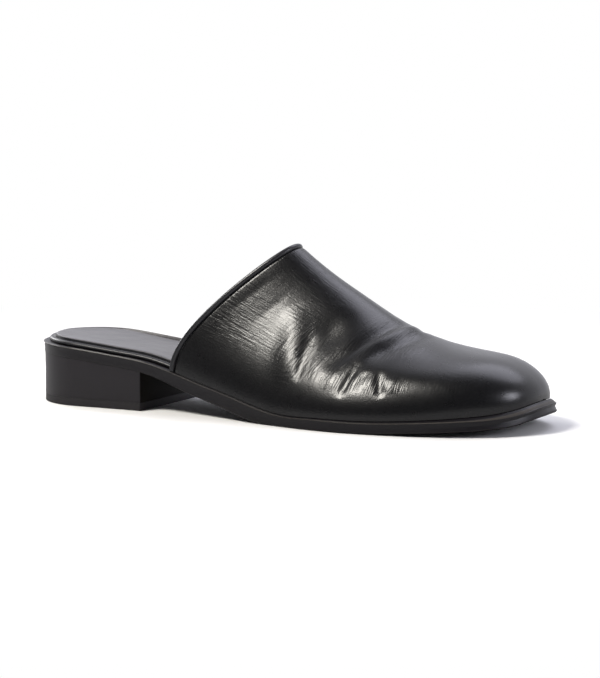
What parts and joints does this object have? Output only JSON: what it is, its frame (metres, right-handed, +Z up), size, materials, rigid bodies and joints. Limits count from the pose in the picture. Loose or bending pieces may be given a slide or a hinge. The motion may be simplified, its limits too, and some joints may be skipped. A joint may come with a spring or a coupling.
{
  "type": "mule shoe",
  "caption": "Backless mule shoe for the right foot: closed rounded toe, bound slanting topline, wrapped insole, thin leather sole with toe spring and a low block heel.",
  "frame": {"origin": "centre of the shoe's bounding box in plan, at the level of the floor that the heel and the forefoot stand on", "axes": "+X from the heel to the toe, +Y to the inner (medial) side of the foot, +Z up"},
  "size_m": [0.2648, 0.0902, 0.0807],
  "materials": {
    "upper_leather": "smooth black calf, polished to a soft gloss, with flex creases at the ball",
    "binding_leather": "smooth black calf, folded over the topline",
    "insole_leather": "smooth dark grey lining leather, lightly polished",
    "sole_leather": "black edge ink over burnished leather, satin",
    "heel_stack": "black edge ink over a stacked heel, satin",
    "top_lift_rubber": "moulded black rubber, matt"
  },
  "bodies": {
    "root": {"outsole": "sole_leather", "heel_block": "heel_stack", "top_lift": "top_lift_rubber", "insole": "insole_leather", "upper": "upper_leather", "topline_binding": "binding_leather"}
  },
  "joints": []
}
